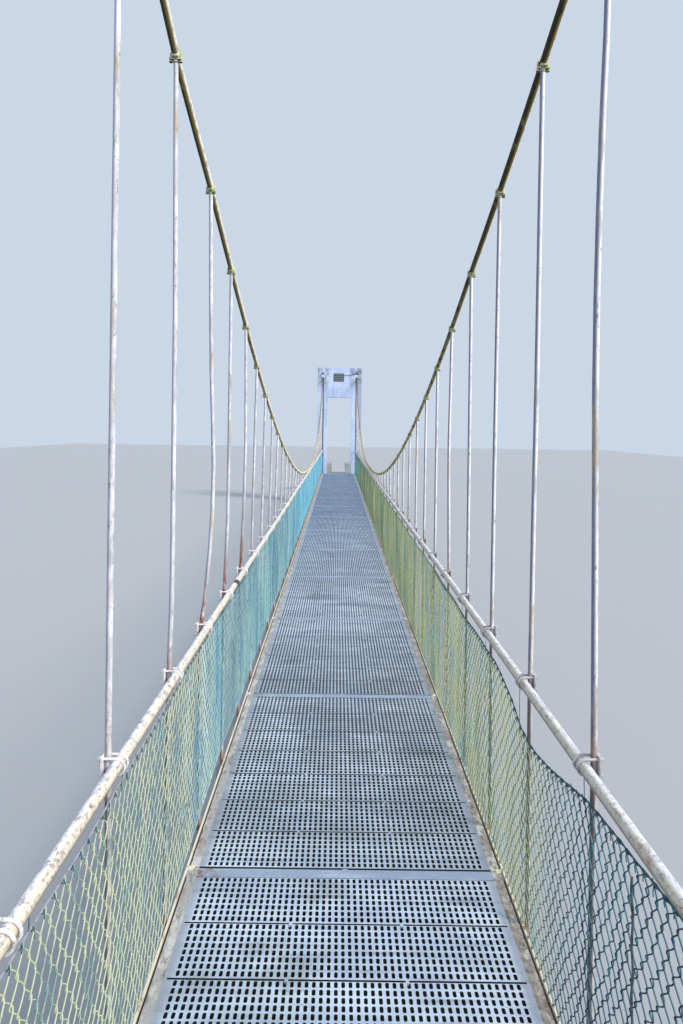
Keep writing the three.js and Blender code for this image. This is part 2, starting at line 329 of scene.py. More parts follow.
# The nodes of one material. A source is X, Y or Z, facing X or Z, a name that value() knows, or the
# numbers of a noise.
class Coat:
    def __init__(self, name):
        self.material = bpy.data.materials.new(name)
        self.material.use_nodes = True
        self.nodes = self.material.node_tree.nodes
        self.links = self.material.node_tree.links
        self.place = self.nodes.new("ShaderNodeTexCoord").outputs["Object"]

    # A constant is set on the socket, anything else is linked to it
    def feed(self, socket, value):
        if isinstance(value, (int, float, tuple)):
            socket.default_value = value
        else:
            self.links.new(value, socket)

    def noise(self, scale, detail=5, rough=0.6, stretch=EVEN, shift=(0, 0, 0)):
        mapping = self.nodes.new("ShaderNodeMapping")
        mapping.inputs["Scale"].default_value = stretch
        mapping.inputs["Location"].default_value = shift
        self.links.new(self.place, mapping.inputs["Vector"])
        texture = self.nodes.new("ShaderNodeTexNoise")
        for socket, value in (("Vector", mapping.outputs["Vector"]), ("Scale", scale), ("Detail", detail),
                              ("Roughness", rough)):
            self.feed(texture.inputs[socket], value)
        return texture.outputs["Fac"]

    def split(self, vector, name):
        node = self.nodes.new("ShaderNodeSeparateXYZ")
        self.links.new(vector, node.inputs["Vector"])
        return node.outputs[name]

    def maths(self, operation, first, second=0.0):
        node = self.nodes.new("ShaderNodeMath")
        node.operation = operation
        self.feed(node.inputs[0], first)
        self.feed(node.inputs[1], second)
        return node.outputs["Value"]

    def value(self, source):
        if isinstance(source, tuple):
            return self.noise(*source)
        if source == "wear":
            node = self.nodes.new("ShaderNodeAttribute")
            node.attribute_name = source
            return node.outputs["Fac"]
        if source == "off middle":
            return self.maths("ABSOLUTE", self.value("X"))
        if source == "off slot":
            return self.maths("ABSOLUTE", self.maths("SUBTRACT", self.value("off middle"), SLOT_X))
        if source == "outward":
            return self.maths("MULTIPLY", self.value("facing X"), self.value("X"))
        if source.startswith("facing"):
            return self.split(self.nodes.new("ShaderNodeNewGeometry").outputs["Normal"], source[-1])
        return self.split(self.place, source)

    # A source's own value, or smoothly from the bottom where it is low to the top where it is high
    def mask(self, source, low=None, high=None, top=1.0, bottom=0.0):
        value = self.value(source)
        if low is None:
            return value
        node = self.nodes.new("ShaderNodeMapRange")
        node.interpolation_type = "SMOOTHSTEP"
        for socket, number in (("From Min", low), ("From Max", high), ("To Min", bottom), ("To Max", top)):
            node.inputs[socket].default_value = number
        self.links.new(value, node.inputs["Value"])
        return node.outputs["Result"]

    def layer(self, under, over, masks):
        factor = self.mask(*masks[0])
        for mask in masks[1:]:
            factor = self.maths("MULTIPLY", factor, self.mask(*mask))
        node = self.nodes.new("ShaderNodeMix")
        node.data_type = "RGBA"
        self.links.new(factor, node.inputs["Factor"])
        self.feed(node.inputs[MIX_UNDER], under)
        self.feed(node.inputs[MIX_OVER], over)
        return node.outputs[MIX_RESULT]


# A finish is a base colour with layers of other colours over it. Each layer is a colour and its masks, and
# lies where all of them are high. A bump is the numbers of a noise, a strength and a depth.
def finish(name, colour, roughness, metallic, bumps, layers):
    coat = Coat(name)
    shader = coat.nodes["Principled BSDF"].inputs
    mixed = paint(*colour)
    shader["Base Color"].default_value = mixed
    for over, *masks in layers:
        mixed = coat.layer(mixed, paint(*over), masks)
    coat.feed(shader["Base Color"], mixed)
    coat.feed(shader["Roughness"], coat.mask(*roughness) if isinstance(roughness, tuple) else roughness)
    shader["Metallic"].default_value = metallic
    normal = None
    for noise, strength, distance in bumps:
        node = coat.nodes.new("ShaderNodeBump")
        node.inputs["Strength"].default_value = strength
        node.inputs["Distance"].default_value = distance
        coat.links.new(coat.noise(*noise), node.inputs["Height"])
        if normal is not None:
            coat.links.new(normal, node.inputs["Normal"])
        normal = node.outputs["Normal"]
        coat.links.new(normal, shader["Normal"])
    return coat.material


# The plastic coat of the netting: wires on the outer and the inner face differ, the outer ones partly
# sun-bleached and the inner ones in painted shade, and so do the stretches
def net_finish(name, inner, outer, middle, far, turns, pale, deep):
    patches = (6, 5, 0.7, (1, 1, 0.12), (2, 6, 5))
    further = ("Y", -11.0, -9.5)
    return finish(name, inner, 0.5, 0.0, [], [
        # outer-face wires get the sun-bleached colour; the inner-face base colour is partly painted shade
        (outer, ("wear", 0.35, 0.65, 0.85)),
        ((60, 128, 142), ((9, 5, 0.7, (1, 1, 0.6), (4, 4, 1)), 0.54, 0.62, 0.65)),
        (middle, ("Y", turns[0] - 0.4, turns[0] + 0.4, 0.85)),
        (far, ("Y", turns[1] - 3.0, turns[1] + 3.0)),
        ((86, 160, 172), ((6, 5, 0.7, (1, 1, 0.5), (1, 4, 8)), 0.52, 0.6, 0.7), ("Y", -12, -9.5)),
        (pale, (patches, 0.52, 0.6, 0.55), further),
        (deep, (patches, 0.48, 0.41, 0.7), further),
        ((92, 84, 60), ((60, 4, 0.7), 0.62, 0.72, 0.7)),
    ])


def plain_finish(name, colour, roughness, spot):
    return finish(name, colour, roughness, 0.0, [], [(spot, ((45, 5, 0.7), 0.45, 0.65, 0.7))])


def concrete_finish(name, base, light, stains_and_shade):
    bumps = [((24, 4, 0.6, (0.2, 0.2, 1)), 0.25, 0.003), ((90, 6, 0.7), 0.5, 0.003)]
    return finish(name, base, 0.85, 0.0, bumps, [
        (light, ((1.3, 6, 0.65), 0.42, 0.62, 0.85)),
        ((132, 144, 172), ((7, 6, 0.7, (1, 1, 0.12)), 0.5, 0.66, 0.5)),
        ((108, 112, 120), ((5, 7, 0.75, EVEN, (3, 3, 3)), 0.58, 0.7, 0.6)),
        ((74, 76, 74), ((60, 5, 0.7), 0.6, 0.72, 0.7)),
        *stains_and_shade,
    ])


zinc_streak, zinc_grain = (26, 5, 0.6, (0.12, 1, 1)), (180, 3, 0.6)
zinc = finish("zinc", (184, 198, 218), (zinc_streak, 0, 1, 0.66, 0.38), 0.2, [(zinc_grain, 0.25, 0.0006)], [
    ((222, 234, 250), ((3.0, 6, 0.65, (0.6, 1.6, 1)), 0.42, 0.64, 0.85)),
    ((138, 150, 168), (zinc_streak, 0.5, 0.7, 0.6)),
    ((112, 124, 100), ((1.7, 6, 0.7, EVEN, (4, 1, 0)), 0.54, 0.72, 0.55)),
    ((138, 142, 152), ("off middle", 0.55, 0.585, 0.6)),
    # painted reflection of the sky: the deck turns bluer further along, where it is seen at grazing angles
    ((112, 144, 186), ("Y", -7, 4, 0.6)),
    ((112, 122, 118), ("Y", -10.3, -9.7), ("Y", -6.5, -8.5),
     ((2.6, 6, 0.75, EVEN, (1, 9, 0)), 0.36, 0.6, 0.5, 0.15)),
    ((98, 106, 116), (zinc_grain, 0.57, 0.72, 0.45)),
])
cross_plate_zinc = finish("cross_plate_zinc", (156, 170, 192), 0.55, 0.2, [((150, 3), 0.25, 0.0006)], [
    ((188, 202, 224), ((30, 5, 0.6, (0.15, 1, 1)), 0.45, 0.7, 0.7)),
    ((138, 92, 56), ("X", -0.44, -0.6), ((60, 5, 0.7, (0.5, 1, 1)), 0.42, 0.62)),
    ((104, 110, 118), ((90, 4), 0.55, 0.75, 0.6)),
])
flange_steel = finish("flange_steel", (170, 168, 166), 0.62, 0.1, [((140, 4), 0.35, 0.0008)], [
    ((140, 126, 110), ("X", 0.45, 0.62, 0.6)),
    ((216, 212, 204), ((18, 6, 0.7, (1, 0.5, 1)), 0.48, 0.62, 0.75)),
    ((98, 92, 84), ((34, 6, 0.75, (1, 0.4, 1)), 0.5, 0.64, 0.75)),
    ((150, 104, 70), ((9, 7, 0.8, (1, 0.5, 1), (3, 2, 0)), 0.58, 0.7, 0.65)),
    ((222, 218, 206), ((110, 5, 0.7), 0.58, 0.68, 0.8)),
    ((70, 64, 58), ((140, 5, 0.7, EVEN, (4, 4, 4)), 0.58, 0.68, 0.8)),
])
edge_paint = finish("edge_paint", (226, 216, 194), 0.6, 0.0, [((120, 4), 0.4, 0.0008)], [
    ((150, 96, 58), ((14, 7, 0.75, (1, 0.5, 1)), 0.54, 0.66, 0.9)),
    ((96, 70, 50), ((60, 5, 0.7), 0.6, 0.72, 0.8)),
    ((92, 80, 66), ("Z", DECK_TOP - 0.002, DECK_TOP - 0.014, 0.8)),
])
beam_steel = finish("beam_steel", (160, 162, 172), 0.6, 0.15, [((130, 4), 0.35, 0.0008)], [
    ((190, 190, 196), ((16, 5), 0.45, 0.65, 0.8)),
    ((126, 84, 56), ((12, 7, 0.75, EVEN, (2, 5, 1)), 0.56, 0.68, 0.85)),
])
# White paint with painted shade on the sides facing -X, away from the sun, deeper on the right rods and below
# the rail; soiled on the left, rusty at rail and deck
hanger_paint = finish("hanger_paint", (240, 237, 236), 0.5, 0.0, [((160, 4), 0.4, 0.0006)], [
    # painted shade: bluish grey on the sides facing -X, away from the sun
    ((150, 156, 188), ("facing X", 0.3, -0.6, 0.85)),
    ((168, 170, 182), ((26, 6, 0.75, (1, 1, 0.3), (7, 3, 1)), 0.4, 0.6, 0.6), ("X", 0.0, -0.3)),
    # painted shade, deeper, on the right rods' sides facing -X
    ((92, 98, 116), ("facing X", -0.2, -0.8, 0.75), ("X", 0.0, 0.3)),
    ((164, 162, 164), ((30, 6, 0.75, (1, 1, 0.2)), 0.5, 0.62, 0.65)),
    ((188, 166, 126), ((9, 6, 0.7, (1, 1, 0.4), (1, 1, 3)), 0.52, 0.66, 0.65)),
    ((92, 80, 72), ((85, 6, 0.8, (1, 1, 0.35), (5, 1, 3)), 0.56, 0.66, 0.85)),
    ((128, 118, 116), ("Z", RAIL_Z + 0.5, RAIL_Z + 0.1, 0.55),
     ((60, 6, 0.75, (1, 1, 0.4), (2, 8, 3)), 0.46, 0.6, 0.75)),
    ((158, 150, 136), ("Z", RAIL_Z - 0.02, RAIL_Z - 0.08, 0.55)),
    # painted shade below the rail, on the sides facing away from the sun
    ((88, 82, 84), ("Z", RAIL_Z - 0.02, RAIL_Z - 0.08), ("facing X", 0.45, -0.1, 0.8)),
    ((156, 96, 66), ("Z", DECK_TOP + 0.06, DECK_TOP + 0.01, 0.7)),
    ((128, 62, 38), ("wear",), ((45, 6, 0.7, (1, 1, 0.4)), 0.36, 0.54)),
])
# White paint, cream outside, dark below from dirt and painted shade, dark at the band, with stains on the
# inner side
rail_speck = (95, 6, 0.75)
rail_paint = finish("rail_paint", (248, 246, 248), 0.5, 0.0, [(rail_speck, 0.45, 0.0009)], [
    ((212, 200, 170), ("outward", -0.02, -0.38, 0.75)),
    # dirt and painted shade on the undersides
    ((128, 112, 84), ("facing Z", 0.5, -0.35, 0.85)),
    ((182, 180, 198), ((26, 6, 0.75, EVEN, (1, 7, 2)), 0.48, 0.6, 0.75), ("outward", -0.3, 0.2)),
    ((142, 132, 128), ((55, 6, 0.75, (1, 0.5, 1), (2, 2, 9)), 0.52, 0.64, 0.8)),
    ((96, 78, 60), (rail_speck, 0.56, 0.64, 0.8)),
    ((160, 108, 66), ((13, 7, 0.8, EVEN, (6, 1, 2)), 0.54, 0.66, 0.75), ("outward", 0.25, -0.2)),
    ((140, 138, 146), ("X", 0.1, 0.6, 0.22)),
    ((72, 36, 22), ("wear",)),
])
bolt_paint = finish("bolt_paint", (236, 232, 232), 0.5, 0.1, [((220, 3), 0.3, 0.0005)], [
    ((140, 136, 134), ((60, 5, 0.7), 0.5, 0.66, 0.7)),
    ((150, 150, 152), ("X", 0.0, 0.5, 0.6)),
    ((120, 80, 50), ((34, 6, 0.75, EVEN, (3, 3, 3)), 0.57, 0.68, 0.8)),
])
# Dark rope with olive and pale lichen, browner further on and grey at the far end; painted light in olive and
# a cream painted highlight on the sides facing +X, towards the sun
cable_rope = finish("cable_rope", (46, 40, 18), 0.85, 0.0, [((110, 5), 0.6, 0.0016)], [
    # painted light: olive on the sides facing +X, towards the sun
    ((156, 134, 62), ("facing X", -0.3, 0.3, 0.85)),
    ((146, 138, 92), ((30, 6, 0.7, (1, 0.5, 0.5)), 0.56, 0.68, 0.6)),
    ((34, 30, 18), ((14, 6, 0.7, EVEN, (2, 3, 1)), 0.54, 0.68, 0.6)),
    ((190, 184, 130), ((12, 6, 0.75, EVEN, (5, 2, 7)), 0.38, 0.56, 0.8), ("Y", -10.0, -6.0)),
    ((170, 150, 130), ((18, 6, 0.75, EVEN, (7, 7, 7)), 0.46, 0.58, 0.85), ("Y", -3.0, 4.0)),
    # painted highlight: cream patches on the sides facing +X
    ((250, 240, 218), ((34, 6, 0.75, (1, 0.6, 0.6), (8, 2, 5)), 0.36, 0.5, 1, 0.25), ("facing X", 0.4, 0.8)),
    ((92, 88, 80), ("Y", 6.0, 10.0, 0.8)),
])
clamp_zinc = finish("clamp_zinc", (196, 192, 160), 0.65, 0.05, [((200, 4), 0.4, 0.0007)], [
    ((232, 226, 204), ((70, 5, 0.7), 0.48, 0.62, 0.85)),
    ((150, 178, 76), ((24, 5, 0.7, EVEN, (9, 2, 3)), 0.5, 0.6, 0.8)),
    ((110, 66, 40), ((36, 6, 0.75, EVEN, (3, 1, 3)), 0.54, 0.64, 0.85)),
    # painted shade: near-black on the undersides
    ((44, 36, 26), ("facing Z", -0.2, -0.9, 0.8)),
])
net_left = net_finish(
    "net_wire_left", inner=(190, 200, 170), outer=(214, 210, 158), middle=(146, 196, 200),
    far=(124, 200, 226), turns=(-9.7, -3.5), pale=(208, 240, 240), deep=(70, 156, 190),
)
net_right = net_finish(
    "net_wire_right", inner=(20, 42, 56), outer=(64, 108, 124), middle=(168, 174, 122),
    far=(128, 190, 176), turns=(-10.6, 8.0), pale=(186, 200, 128), deep=(78, 122, 104),
)
# Near-black for the ribs, drops and hole walls under the planks: painted shade under the deck, tinted like
# grime
shade_and_grime = plain_finish("hole_shade_and_grime", (38, 44, 36), 0.9, (22, 26, 20))
selvage_pale = plain_finish("selvage_pale", (168, 166, 174), 0.55, (104, 108, 114))
selvage_dark = plain_finish("selvage_dark", (44, 76, 92), 0.5, (26, 40, 52))
knot_dark = plain_finish("knot_dark", (92, 106, 108), 0.6, (48, 60, 62))
tie_wire = plain_finish("tie_wire", (40, 110, 122), 0.5, (26, 60, 70))
plate_dark = plain_finish("plate_dark", (70, 78, 76), 0.6, (48, 52, 50))
plate_light = plain_finish("plate_light", (150, 162, 168), 0.6, (96, 104, 108))
# The portals darken on their right side and round the slots of the cables; painted shade lies in the slots
# and the grooves below them
concrete = concrete_finish("painted_concrete", (190, 206, 236), (212, 224, 246), [
    ((150, 156, 162), ("X", 0.67, 0.72, 0.6)),
    # painted shade in the cable slots and the grooves below them
    ((66, 72, 92), ("off slot", 0.05, 0.02, 0.75), ("Z", DECK_TOP + 4.0, DECK_TOP + 3.9)),
    ((84, 90, 110), ((4, 6, 0.75), 0.4, 0.6), ("off slot", 0.36, 0.14), ("Z", 4.3, 5.0, 0.75)),
])
plain_concrete = concrete_finish("bare_concrete", (150, 150, 146), (176, 174, 168), [])
casting = finish("casting", (74, 70, 64), 0.7, 0.4, [((130, 4), 0.5, 0.001)], [
    ((112, 72, 46), ((24, 6, 0.7), 0.5, 0.66, 0.8)),
])


# One plank with rounded holes and their walls, for the nearest modules
def rounded_plank(length):
    shape, walls = Shape(), Shape()
    xs = (np.arange(HOLE_COLUMNS + 1) - HOLE_COLUMNS / 2) * COLUMN_PITCH
    ys = FIRST_ROW + (np.arange(HOLE_ROWS + 1) - 0.5) * ROW_PITCH
    ys[0], ys[-1] = 0.0, length
    all_x = np.concatenate([[-PLANK_HALF], xs, [PLANK_HALF]])
    grid = np.array([[x, y, 0] for y in ys for x in all_x])
    wide = len(all_x)
    margins = []
    for row in range(HOLE_ROWS):
        for column in (0, wide - 2):
            base = row * wide + column
            margins.append([base, base + 1, base + wide + 1, base + wide])
    half_w, half_l, cut = HOLE_WIDTH / 2, HOLE_LENGTH / 2, HOLE_CORNER
    ring = np.array([
        [-half_w + cut, -half_l], [half_w - cut, -half_l], [half_w, -half_l + cut], [half_w, half_l - cut],
        [half_w - cut, half_l], [-half_w + cut, half_l], [-half_w, half_l - cut], [-half_w, -half_l + cut],
    ])
    holes, quads, triangles, sides = [], [], [], []
    start = len(grid)
    total = HOLE_COLUMNS * HOLE_ROWS * 8
    for row in range(HOLE_ROWS):
        for column in range(HOLE_COLUMNS):
            centre = ((column + 0.5 - HOLE_COLUMNS / 2) * COLUMN_PITCH, FIRST_ROW + row * ROW_PITCH)
            hole = (row * HOLE_COLUMNS + column) * 8
            holes.append(ring + centre)
            low = row * wide + column + 1
            a, b, c, d = low, low + 1, low + wide + 1, low + wide
            h = start + hole
            quads += [[a, b, h + 1, h], [b, c, h + 3, h + 2], [c, d, h + 5, h + 4], [d, a, h + 7, h + 6]]
            triangles += [[b, h + 2, h + 1], [c, h + 4, h + 3], [d, h + 6, h + 5], [a, h, h + 7]]
            for corner in range(8):
                after = hole + (corner + 1) % 8
                sides.append([hole + corner, after, after + total, hole + corner + total])
    holes = np.concatenate(holes)
    top = np.column_stack([holes, np.zeros(len(holes))])
    shape.add(np.concatenate([grid, top]), margins, quads, triangles)
    walls.add(np.concatenate([top, top - (0, 0, SHEET_METAL)]), sides)
    return shape, walls


# A rib is rolled into the sheet behind each row of holes
def plank_ribs():
    shape = Shape()
    for row in range(HOLE_ROWS):
        y = FIRST_ROW + row * ROW_PITCH + HOLE_LENGTH / 2 + 0.0006
        half = HOLE_COLUMNS * COLUMN_PITCH / 2
        corners = [(-half, y, -RIB_TOP), (half, y, -RIB_TOP), (half, y, -RIB_DEPTH), (-half, y, -RIB_DEPTH)]
        shape.add(corners, [[0, 3, 2, 1]])
    return shape


def square_plank(length):
    xs = [-PLANK_HALF]
    for column in range(HOLE_COLUMNS):
        centre = (column + 0.5 - HOLE_COLUMNS / 2) * COLUMN_PITCH
        xs += [centre - HOLE_WIDTH / 2, centre + HOLE_WIDTH / 2]
    xs.append(PLANK_HALF)
    ys = [0.0]
    for row in range(HOLE_ROWS):
        centre = FIRST_ROW + row * ROW_PITCH
        ys += [centre - HOLE_LENGTH / 2, centre + HOLE_LENGTH / 2]
    ys.append(length)
    points = np.array([[x, y, 0] for y in ys for x in xs])
    wide = len(xs)
    quads = []
    for row in range(len(ys) - 1):
        for column in range(wide - 1):
            if row % 2 and column % 2:
                continue
            base = row * wide + column
            quads.append([base, base + 1, base + wide + 1, base + wide])
    shape = Shape()
    shape.add(points, quads)
    return shape


# The turned-down edges of a plank: a rounded lip, and a drop at both long sides drawn near-black as painted
# shade
def plank_folds(length):
    lips, drops = Shape(), Shape()
    lip = [(0.0, 0.0), (-FOLD * 0.3, -FOLD * 0.1), (-FOLD * 0.5, -FOLD * 0.5)]
    drop = [(-FOLD * 0.5, -FOLD * 0.5), (-FOLD * 0.5, -PLANK_FLANGE)]
    for shape, profile in ((lips, lip), (drops, drop)):
        wide = len(profile)
        for edge, sign in ((0.0, 1), (length, -1)):
            points = [[x, edge + sign * dy, z] for x in (-PLANK_HALF, PLANK_HALF) for dy, z in profile]
            faces = [[step, step + 1, step + 1 + wide, step + wide][::sign] for step in range(wide - 1)]
            shape.add(points, faces)
    return lips, drops


def make_planks():
    length = PLANK_PITCH - PLANK_JOINT
    rounded, hole_walls = rounded_plank(length)
    plain = square_plank(length)
    lips, drops = plank_folds(length)
    ribs = plank_ribs()
    for module in range(MODULES):
        name = f"deck_panel_{module + 1:02d}"
        low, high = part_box(name)
        places = [(0, low[1] + PLANK_JOINT / 2 + plank * PLANK_PITCH, DECK_TOP) for plank in range(PLANKS)]
        sheets, under = Shape(), Shape()
        for plank, place in enumerate(places):
            tilt = np.array(place) + (0, 0, -PLANK_DIP * rng.random())
            sheets.stamp(rounded if module in ROUNDED_MODULES else plain, [tilt])
            sheets.stamp(lips, [tilt])
            under.stamp(drops, [tilt])
            under.stamp(ribs, [tilt])
            if module == ROUNDED_MODULES[0] and plank > 3:
                under.stamp(hole_walls, [tilt])
        tabs = Shape()
        for place in places[1:]:
            y = place[1] - PLANK_JOINT
            for x in (-WELD_TAB_X, WELD_TAB_X):
                shift = rng.normal(0, 0.003)
                block(tabs, (x - WELD_TAB_HALF + shift, y - 0.003, DECK_TOP - 0.008),
                      (x + WELD_TAB_HALF + shift, y + PLANK_JOINT + 0.003, DECK_TOP + 0.0006))
            for side in (-1, 1):
                block(tabs, (side * (PLANK_HALF - 0.009), y - 0.001, DECK_TOP - 0.008),
                      (side * PLANK_HALF, y + PLANK_JOINT + 0.001, DECK_TOP - 0.0005))
        # The ribs, drops and hole walls take the near-black painted shade
        parts = [(sheets, zinc), (tabs, zinc), (under, shade_and_grime)]
        make_piece(f"planks_{module + 1:02d}", parts, replaced=(name,))


def hollow_beam(shape, y):
    outer = (BEAM_WIDTH / 2, BEAM_DEPTH / 2)
    inner = (outer[0] - BEAM_WALL, outer[1] - BEAM_WALL)
    signs = [(-1, -1), (1, -1), (1, 1), (-1, 1)]
    middle = BEAM_TOP - BEAM_DEPTH / 2
    ring = [(y + sy * half[0], middle + sz * half[1]) for half in (outer, inner) for sy, sz in signs]
    points = [[x, *pair] for x in (-BEAM_HALF, BEAM_HALF) for pair in ring]
    quads = []
    for corner in range(4):
        after = (corner + 1) % 4
        quads.append([corner, after, after + 8, corner + 8])
        quads.append([corner + 12, after + 12, after + 4, corner + 4])
        quads.append([corner + 4, after + 4, after, corner])
        quads.append([corner + 8, after + 8, after + 12, corner + 12])
    shape.add(points, quads)


# A rod's end at a beam: a nut over it, a nut under it, and the rod's tip
def rod_end(shape, x, y):
    foot = BEAM_TOP - BEAM_DEPTH
    for z in (BEAM_TOP + NUT_HEIGHT / 2, foot - NUT_HEIGHT / 2):
        prism(shape, (x, y, z), UP, NUT_RADIUS, NUT_HEIGHT, 6, 0.0012)
    prism(shape, (x, y, foot - 0.016), UP, HANGER_RADIUS, 0.03, 10, 0.001)


def make_frames():
    top = DECK_TOP
    plate_foot = top - CROSS_PLATE_THICK
    for module in range(MODULES):
        start = -DECK_END + module * MODULE_LENGTH
        end = start + MODULE_LENGTH - MODULE_GAP
        after = end + MODULE_GAP
        plate_start = end - CROSS_PLATE_WIDTH
        flanges, edges, plate, beams = Shape(), Shape(), Shape(), Shape()
        for side in (-1, 1):
            block(flanges, (side * PLANK_HALF, start, top - SHEET), (side * FLANGE_OUTER, end, top))
            block(flanges, (side * (FLANGE_OUTER - SHEET), start, BEAM_TOP),
                  (side * FLANGE_OUTER, end, top - SHEET))
            block(edges, (side * EDGE_INNER, start, BEAM_TOP - 0.001),
                  (side * EDGE_OUTER, end, top + EDGE_RISE), EDGE_CHAMFER)
            block(flanges, (side * (FLANGE_OUTER - 0.001), plate_start, plate_foot),
                  (side * (EDGE_INNER + 0.001), end, top))
        block(plate, (-PLANK_HALF, plate_start, plate_foot), (PLANK_HALF, end, top))
        for beam in range(BEAMS):
            y = start + FIRST_BEAM + beam * HANGER_SPACING
            hollow_beam(beams, y)
            for side in (-1, 1):
                rod_end(beams, side * HANGER_X, y)
        # Small joining plates over the gap to the next module
        for side in (-1, 1):
            x = side * (FLANGE_OUTER - 0.006 + rng.normal(0, 0.003))
            block(edges, (x - 0.013, end - 0.006, top - 0.004),
                  (x + 0.013, after + 0.006, top + 0.003), 0.003)
        block(plate, (-0.012, end - 0.002, top - 0.012), (0.010, after + 0.001, top - 0.001), 0.001)
        name = f"deck_frame_{module + 1:02d}"
        parts = [(flanges, flange_steel), (edges, edge_paint), (plate, cross_plate_zinc), (beams, beam_steel)]
        make_piece(f"frame_{module + 1:02d}", parts, replaced=(name,))


# Where hangers are bent: height over the deck, how far inward, how far along the bridge
BENDS = {
    (-1, 3): ((0, 0, 0), (0.884, -0.016, -0.045), (1.5, -0.026, -0.05), (2.8, -0.026, -0.05)),
    (-1, 4): ((0, 0, 0), (0.884, 0, -0.030), (3.3, 0, -0.028)),
    (-1, 5): ((0, 0, 0), (0.884, 0, 0.020), (1.2, 0.007, 0.025), (2.2, 0.006, 0.024)),
    (-1, 6): ((0.884, 0, 0), (1.0, 0.018, 0), (1.25, 0.041, 0), (1.45, 0.051, 0), (1.6, 0.053, 0),
              (1.75, 0.049, 0), (2.0, 0.038, 0), (2.4, 0.028, 0)),
    (-1, 7): ((0.884, 0, 0), (1.3, 0.014, 0), (1.7, 0.017, 0)),
    (-1, 8): ((0.884, 0, 0), (1.3, 0.018, 0), (1.7, 0.025, 0)),
    (1, 4): ((0.884, 0, 0), (1.6, 0.006, 0), (2.0, 0.010, 0), (2.27, 0.007, 0), (2.6, 0, 0),
             (2.8, -0.009, 0)),
    (1, 5): ((0.884, 0, 0), (1.5, -0.005, 0), (1.9, -0.010, 0)),
    (1, 8): ((0.884, 0, 0), (1.65, 0.010, 0)),
}
# How far each rod's head has slid along the cable
HEADS = {(-1, 4): -0.020, (-1, 5): -0.028, (1, 4): -0.009, (1, 5): -0.010}
# Rust at the rail: how strong, how far up
RUST = {
    (-1, 5): (0.5, 0.08), (-1, 6): (1.0, 0.13), (-1, 7): (1.0, 0.16), (-1, 8): (1.0, 0.24),
    (1, 4): (0.45, 0.16),
}
# How far each cable hangs inward of its line: place along the bridge, distance
SWAY = {
    -1: ((-13.9, 0), (-11.3, 0.015), (-10.98, 0.013), (-10.675, 0.014), (-10.37, 0.009), (-9.76, 0.020),
         (-8.5, 0.020), (2.0, 0.016), (13.9, 0)),
    1: ((-13.9, 0), (-12.2, -0.020), (-10.98, -0.020), (-9.76, -0.010), (-9.15, -0.003), (13.9, 0)),
}


def cable_x(side, y):
    places, inward = zip(*SWAY[side])
    return HANGER_X - np.interp(y, places, inward)


def head_place(side, number, y):
    y += HEADS.get((side, number), 0)
    return cable_x(side, y), y, DECK_TOP + cable_height(y)


def rail_bolt_y(side, number, y):
    if (side, number) not in BENDS:
        return y
    heights, _, along = zip(*BENDS[side, number])
    return y + np.interp(RAIL_Z - DECK_TOP, heights, along)


def make_hangers(side, name):
    shape = Shape()
    wear = []
    near_rail = RAIL_Z + np.array([-0.08, -0.02, 0.03, 0.07, 0.12, 0.18, 0.26, 0.36])
    for number, y in enumerate(hanger_places()):
        sides = 12 if number < NEAR_RODS else 8
        foot = BEAM_TOP
        head_x, head_y, head_z = head_place(side, number, y)
        top = head_z - CABLE_RADIUS - CLAMP_DROP
        bow = rng.normal(0, 0.0025, 2)
        z = np.sort(np.concatenate([np.linspace(foot, top, 15), near_rail[near_rail < top - 0.05]]))
        share = (z - foot) / (top - foot)
        head = (top - DECK_TOP, HANGER_X - head_x, head_y - y)
        bends = [(foot - DECK_TOP, 0, 0), *BENDS.get((side, number), ((RAIL_Z - DECK_TOP, 0, 0),)), head]
        heights, inward, along = zip(*[bend for bend in bends if bend[0] <= head[0]])
        path = np.column_stack([
            HANGER_X - np.interp(z - DECK_TOP, heights, inward) + bow[0] * np.sin(share * math.pi),
            y + np.interp(z - DECK_TOP, heights, along) + bow[1] * np.sin(share * math.pi),
            z,
        ])
        tube(shape, path, HANGER_RADIUS, sides)
        strength, reach = RUST.get((side, number), (rng.random() ** 2 * 0.5, 0.12))
        level = np.exp(-((z - RAIL_Z - 0.03) / reach) ** 2)
        wear.append(np.repeat(strength * level, sides))
    make_piece(name, [(shape, hanger_paint)], 60, (), np.concatenate(wear), side)


# The cable's line over both saddles, from anchorage to anchorage
def span_angle(end):
    last = hanger_places()[0 if end < 0 else -1]
    saddle = NEAR_SADDLE if end < 0 else FAR_SADDLE
    return math.atan2(saddle - cable_height(last), PORTAL_MIDDLE - abs(last))


def backstay_angle(saddle):
    return math.atan2(DECK_TOP + saddle - ANCHOR_TOP - ANCHOR_EYE, ANCHOR_RUN)


def bend_points(end, saddle):
    low, high = -span_angle(end), backstay_angle(saddle)
    centre = DECK_TOP + saddle - BEND_RADIUS
    angles = np.linspace(low, high, BEND_STEPS + 1)
    ys = end * (PORTAL_MIDDLE + BEND_RADIUS * np.sin(angles))
    return [*zip(ys, centre + BEND_RADIUS * np.cos(angles))]


def anchor_eye(end, saddle):
    y, z = bend_points(end, saddle)[-1]
    eye = ANCHOR_TOP + ANCHOR_EYE
    return y + end * (z - eye) / math.tan(backstay_angle(saddle)), eye


def cable_path(side):
    near = [anchor_eye(-1, NEAR_SADDLE), *reversed(bend_points(-1, NEAR_SADDLE))]
    far = [*bend_points(1, FAR_SADDLE), anchor_eye(1, FAR_SADDLE)]
    places = hanger_places()
    ys = np.linspace(places[0], places[-1], 2 * len(places) - 1)
    middle = [(y, DECK_TOP + cable_height(y)) for y in ys]
    return np.array([(cable_x(side, y), y, z) for y, z in [*near, *middle, *far]])


def make_cable(side, name, node):
    shape = Shape()
    tube(shape, cable_path(side), CABLE_RADIUS, 16)
    make_piece(name, [(shape, cable_rope)], 60, (node,), side=side)


